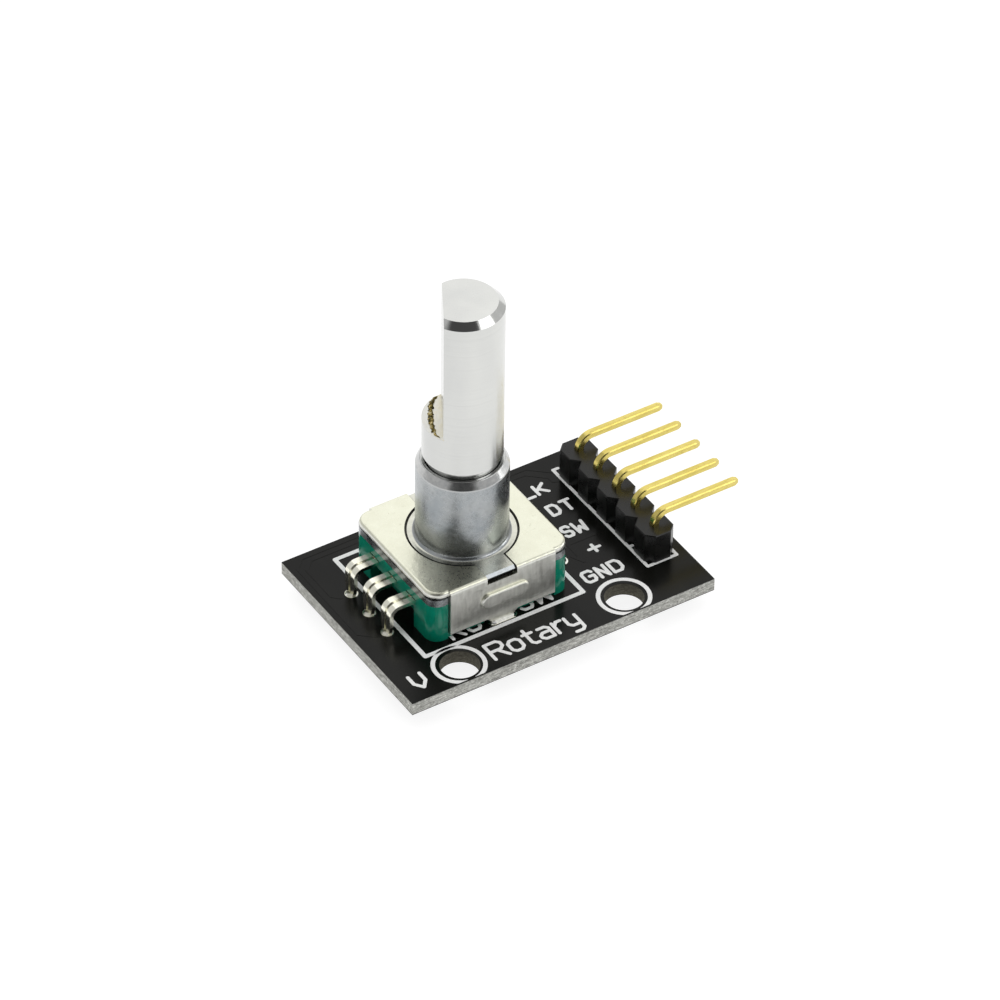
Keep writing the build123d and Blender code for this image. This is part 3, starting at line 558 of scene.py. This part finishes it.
# the function's name in a light running hand: capital 1.7 high, small letters 1.2 high
RUN = {
    "R": [[(0, 0), (0, 1.7), (0.95, 1.7), (1.22, 1.46), (1.22, 1.08), (0.95, 0.84), (0, 0.84)], [(0.62, 0.84), (1.22, 0)]],
    "o": [[(0.25, 0), (0, 0.25), (0, 0.93), (0.25, 1.18), (0.72, 1.18), (0.97, 0.93), (0.97, 0.25), (0.72, 0), (0.25, 0)]],
    "t": [[(0.28, 1.62), (0.28, 0.22), (0.50, 0), (0.80, 0)], [(0, 1.18), (0.76, 1.18)]],
    "a": [[(0.12, 1.18), (0.70, 1.18), (0.95, 0.95), (0.95, 0), (0.24, 0), (0, 0.22), (0, 0.44), (0.24, 0.66), (0.95, 0.66)]],
    "r": [[(0, 0), (0, 1.18)], [(0, 0.78), (0.34, 1.18), (0.70, 1.18)]],
    "y": [[(0, 1.18), (0, 0.45), (0.24, 0.2), (0.92, 0.2)], [(0.92, 1.18), (0.92, -0.28), (0.68, -0.52), (0.10, -0.52)]],
}
shapes = []
x = 7.66
for ch, adv in (("R", 1.60), ("o", 1.38), ("t", 1.17), ("a", 1.36), ("r", 1.04), ("y", 1.2)):
    shapes += strokes([[(x + px, 0.88 + py) for px, py in line] for line in RUN[ch]], 0.27)
    x += adv
legend("legend_name", shapes)

# outline of the encoder and of the header
legend("legend_encoder_frame", strokes([[(3.48, 3.83), (17.08, 3.83), (17.08, 16.45), (3.48, 16.45), (3.48, 3.83)]], 0.35))
legend("legend_header_frame", strokes([[(25.22, 4.50), (25.22, 3.72), (22.68, 3.72), (22.68, 16.65), (23.1, 16.65)],
                                       [(22.68, 6.3), (23.0, 6.3)]], 0.27))
for i, hx in enumerate((5.1, 19.35)):
    n = 72
    ro, ri = 1.91 + 0.165, 1.91 - 0.165
    ring = []
    for j in range(n):
        a, b = 2 * math.pi * j / n, 2 * math.pi * (j + 1) / n
        ring.append([(hx + ri * math.cos(a), 1.83 + ri * math.sin(a)), (hx + ro * math.cos(a), 1.83 + ro * math.sin(a)),
                     (hx + ro * math.cos(b), 1.83 + ro * math.sin(b)), (hx + ri * math.cos(b), 1.83 + ri * math.sin(b))])
    ring = [[(px, max(py, 0.10)) for px, py in q] for q in ring]
    ring = [q for q in ring if max(p[1] for p in q) > 0.12]
    legend("legend_hole_ring_%d" % (i + 1), ring)


# copper tracks standing under the mask
def tracks(name, lines, width, z0, z1):
    return add(name, union_mesh(name, strokes(lines, width), z0, z1), mask)


HX = 24.0
hy = [ENC[1] + (i - 2) * 2.54 for i in range(5)]          # gnd, plus, sw, dt, clk
tl = ENC[0] - 7.95
tr = ENC[0] + 7.1
# upper side: switch to the SW pin, and the signal lines running round the encoder
def milling_burr():
    """Torn ridge the cutter left on the step below the flat: a C-shaped jagged bead."""
    rnd = random.Random(11)
    a = math.radians(150.0)
    ux, uy = math.cos(a), math.sin(a)
    wx, wy = math.cos(a + math.pi / 2), math.sin(a + math.pi / 2)
    step = 15.12
    n = 46
    bm = bmesh.new()
    rings = []
    for i in range(n + 1):
        f = i / n
        t = -2.44 + (2.46 + 2.44) * f
        bulge = max(0.0, 1.0 - (t / 2.48) ** 2) ** 0.5
        d = 1.58 + 0.76 * bulge
        end = min(1.0, 6 * f + 0.25, 6 * (1 - f) + 0.25)
        half = (0.13 + 0.13 * rnd.random()) * (0.6 + 0.4 * end)
        h = (0.08 + 0.16 * rnd.random()) * end
        d += (rnd.random() - 0.5) * 0.13
        lean = (rnd.random() - 0.5) * 0.08
        # direction across the bead, outwards from the middle of the C
        cx, cy = d - 1.2, t
        ln = math.hypot(cx, cy)
        ox, oy = cx / ln, cy / ln
        ring = []
        for off, z in ((-half, -0.04), (-half * 0.9, 0.35 * h), (-half * 0.3 + lean, h), (half * 0.35 + lean, 0.85 * h),
                       (half * 0.95, 0.3 * h), (half, -0.04)):
            dd = max(d + ox * off, 1.505)
            tt = t + oy * off
            # the bead stays inside the turned outline
            lim = math.sqrt(2.92 ** 2 - dd ** 2)
            tt = max(-lim, min(lim, tt))
            x = ENC[0] + dd * ux + tt * wx
            y = ENC[1] + dd * uy + tt * wy
            ring.append(bm.verts.new(P(x, y, step + z)))
        rings.append(ring)
    m = len(rings[0])
    for r0, r1 in zip(rings, rings[1:]):
        for j in range(m):
            bm.faces.new((r0[j], r1[j], r1[(j + 1) % m], r0[(j + 1) % m]))
    bm.faces.new(rings[0])
    bm.faces.new(list(reversed(rings[-1])))
    bmesh.ops.recalc_face_normals(bm, faces=bm.faces)
    me = bpy.data.meshes.new("milling_burr")
    bm.to_mesh(me)
    bm.free()
    return me


burr_k = Mat("burr_metal")
bn = burr_k.noise(burr_k.coords(), 3.2, 3, 0.7)
bf = burr_k.noise(burr_k.coords(loc=(3.0, 1.0, 2.0)), 8.0, 3, 0.7)
bcol = burr_k.ramp(bn, [(0.36, (0.030, 0.028, 0.008)), (0.48, (0.16, 0.13, 0.030)), (0.56, (0.55, 0.42, 0.14)), (0.66, (0.80, 0.74, 0.50))])
burr_k.base(bcol)
burr_k.rough(burr_k.mapr(bf, 0.3, 0.7, 0.35, 0.65))
burr_k.bump([(bf, 0.6, 0.03), (bn, 0.4, 0.05)])
burr_k.set(Metallic=0.75)
add("milling_burr", milling_burr(), burr_k.m, "shaft")


tracks("track_top_sw", [[(tr + 0.95, ENC[1] - 2.5), (19.0, 7.6 - 0.9), (19.0, 8.9), (21.9, 8.9), (22.3, 9.3), (22.9, hy[2] - 0.3)]], 0.30, -0.02, 0.018)
tracks("track_top_clk", [[(tl - 0.9, ENC[1] + 2.5), (1.15, 13.1), (1.15, 16.6), (1.9, 17.35), (20.6, 17.35), (22.0, 16.1), (22.0, 15.6), (22.9, hy[4])]], 0.30, -0.02, 0.018)
tracks("track_top_dt", [[(tl - 0.9, ENC[1] - 2.5), (0.6, 8.5), (0.6, 17.0), (1.4, 17.85), (21.0, 17.85), (22.9, 16.2), (23.3, 15.9)]], 0.25, -0.02, 0.018)

# lower side
B0, B1 = -BOARD_T + 0.02, -BOARD_T - 0.02
tracks("track_back_gnd", [[(tl, ENC[1] - 0.9), (tl, 6.0), (4.2, 4.35), (21.0, 4.35), (22.9, hy[0] - 0.2)]], 0.45, B1, B0)
tracks("track_back_plus", [[(20.9, 7.6), (20.9, 8.6), (22.0, 8.6), (22.9, hy[1] + 0.3)], [(20.9, 11.9), (20.9, 9.6), (21.9, 8.6)]], 0.40, B1, B0)
tracks("track_back_dt", [[(tl + 0.9, ENC[1] - 2.5), (4.4, 8.6), (17.0, 8.6), (18.6, 10.2), (18.6, 12.7), (19.4, 13.5), (20.2, 14.4), (21.4, 14.4), (22.9, hy[3] + 0.2)]], 0.28, B1, B0)
tracks("track_back_clk", [[(tl + 0.9, ENC[1] + 2.5), (4.6, 13.6), (8.0, 16.9), (20.8, 16.9), (22.9, hy[4] + 0.3)]], 0.28, B1, B0)
tracks("track_back_sw", [[(20.9, 5.0), (19.4, 5.6), (18.6, 6.7)]], 0.28, B1, B0)


def mirrored(glyphs, y0, y1, width, about):
    """Lettering read from below: mirrored left to right about a line of constant x."""
    out = []
    for ch, x0, x1 in glyphs:
        for poly in letter(ch, x0, x1, y0, y1, width):
            out.append([(2 * about - px, py) for px, py in poly])
    return out


Z0, Z1 = -BOARD_T - INK, -BOARD_T + 0.002
back = mirrored([("R", 18.3, 19.1), ("1", 19.3, 19.9)], 5.75, 6.85, 0.2, 19.1 - 0.0)
legend("legend_back_r1", [[(px - 0.2, py) for px, py in q] for q in back], Z0, Z1)
back = mirrored([("R", 20.4, 21.1), ("2", 21.3, 21.9)], 15.0, 15.95, 0.18, 21.1)
legend("legend_back_r2", [[(px - 0.2, py) for px, py in q] for q in back], Z0, Z1)
for i, cy in enumerate((6.3, 13.2)):
    legend("legend_back_frame_%d" % (i + 1),
           strokes([[(20.0, cy - 1.6), (21.8, cy - 1.6), (21.8, cy + 1.6), (20.0, cy + 1.6), (20.0, cy - 1.6)]], 0.15), Z0, Z1)


# ================================================================== stage ====
def floor_mesh():
    bm = bmesh.new()
    n, half = 24, 1.2
    grid = [[bm.verts.new((-half + 2 * half * i / n, -half + 2 * half * j / n, 0.0)) for j in range(n + 1)] for i in range(n + 1)]
    for i in range(n):
        for j in range(n):
            bm.faces.new((grid[i][j], grid[i + 1][j], grid[i + 1][j + 1], grid[i][j + 1]))
    me = bpy.data.meshes.new("floor")
    bm.to_mesh(me)
    bm.free()
    return me


k = Mat("pale_floor")
n = k.noise(k.coords(0.02, 0.02, 0.02), 1.0, 2, 0.5)
k.base(k.mix(n, (0.25, 0.25, 0.25), (0.26, 0.26, 0.26)))
k.rough(k.mapr(n, 0.3, 0.7, 0.85, 0.95))
k.set(Specular_IOR_Level=0.1, Emission_Color=(1, 1, 1, 1), Emission_Strength=0.86)
floor = bpy.data.objects.new("floor", floor_mesh())
bpy.context.scene.collection.objects.link(floor)
floor.data.materials.append(k.m)

world = bpy.data.worlds.new("studio")
bpy.context.scene.world = world
world.use_nodes = True
wt = world.node_tree
bg = wt.nodes["Background"]
tc = wt.nodes.new("ShaderNodeTexCoord")
sep = wt.nodes.new("ShaderNodeSeparateXYZ")
wt.links.new(tc.outputs["Generated"], sep.inputs[0])
# a plain bright room whose upper front, behind the viewer, is unlit
dot = wt.nodes.new("ShaderNodeVectorMath")
dot.operation = "DOT_PRODUCT"
dot.inputs[1].default_value = Vector((-0.40, -0.66, 0.64)).normalized()
wt.links.new(tc.outputs["Generated"], dot.inputs[0])
dark = wt.nodes.new("ShaderNodeMapRange")
dark.interpolation_type = "SMOOTHSTEP"
for name, v in (("From Min", 0.73), ("From Max", 0.87), ("To Min", 0.0), ("To Max", 1.0)):
    dark.inputs[name].default_value = v
wt.links.new(dot.outputs["Value"], dark.inputs["Value"])
ramp = wt.nodes.new("ShaderNodeValToRGB")
ramp.color_ramp.elements[0].position = 0.0
ramp.color_ramp.elements[0].color = (0.80, 0.80, 0.80, 1)
ramp.color_ramp.elements[1].position = 0.9
ramp.color_ramp.elements[1].color = (0.80, 0.80, 0.80, 1)
wt.links.new(sep.outputs[2], ramp.inputs["Fac"])
mixw = wt.nodes.new("ShaderNodeMix")
mixw.data_type = "RGBA"
wt.links.new(dark.outputs["Result"], mixw.inputs[0])
wt.links.new(ramp.outputs["Color"], mixw.inputs[6])
mixw.inputs[7].default_value = (0.10, 0.10, 0.10, 1)
wt.links.new(mixw.outputs[2], bg.inputs["Color"])
bg.inputs["Strength"].default_value = 0.80


def area(name, loc, size, energy, target=(0, 0, 0.006), colour=(1, 1, 1)):
    li = bpy.data.lights.new(name, "AREA")
    li.shape = "RECTANGLE"
    li.size, li.size_y = size
    li.energy = energy
    li.color = colour
    ob = bpy.data.objects.new(name, li)
    bpy.context.scene.collection.objects.link(ob)
    ob.location = loc
    ob.rotation_euler = (Vector(target) - Vector(loc)).to_track_quat("-Z", "Y").to_euler()
    return ob


area("key", (0.25, 0.385, 0.39), (0.80, 0.80), 1.15, colour=(1.0, 0.995, 0.975))
area("side", (0.52, -0.17, 0.09), (0.22, 0.18), 0.32)
area("front", (0.29, -0.38, 0.38), (0.38, 0.22), 0.44)

# broad overhead light for the matt surfaces, kept out of the mirror-like ones
top = area("overhead", (-0.12, -0.05, 0.50), (0.60, 0.60), 0.80)
top.visible_glossy = False

# camera: the photograph's viewing angle and perspective
cam = bpy.data.cameras.new("camera")
cam.sensor_width = 36.0
cam.lens = 236.30
cam.clip_start = 0.01
cam.clip_end = 10.0
cam_ob = bpy.data.objects.new("camera", cam)
bpy.context.scene.collection.objects.link(cam_ob)
right = Vector((0.844843, -0.534926, 0.009732))
down = Vector((-0.339571, -0.550185, -0.762881))
fwd = Vector((0.413439, 0.641210, -0.646466))
m = Matrix((right, -down, -fwd)).transposed().to_4x4()
m.translation = Vector((-0.200206, -0.306638, 0.318484))
cam_ob.matrix_world = m
bpy.context.scene.camera = cam_ob
bpy.context.scene.view_settings.view_transform = "Standard"
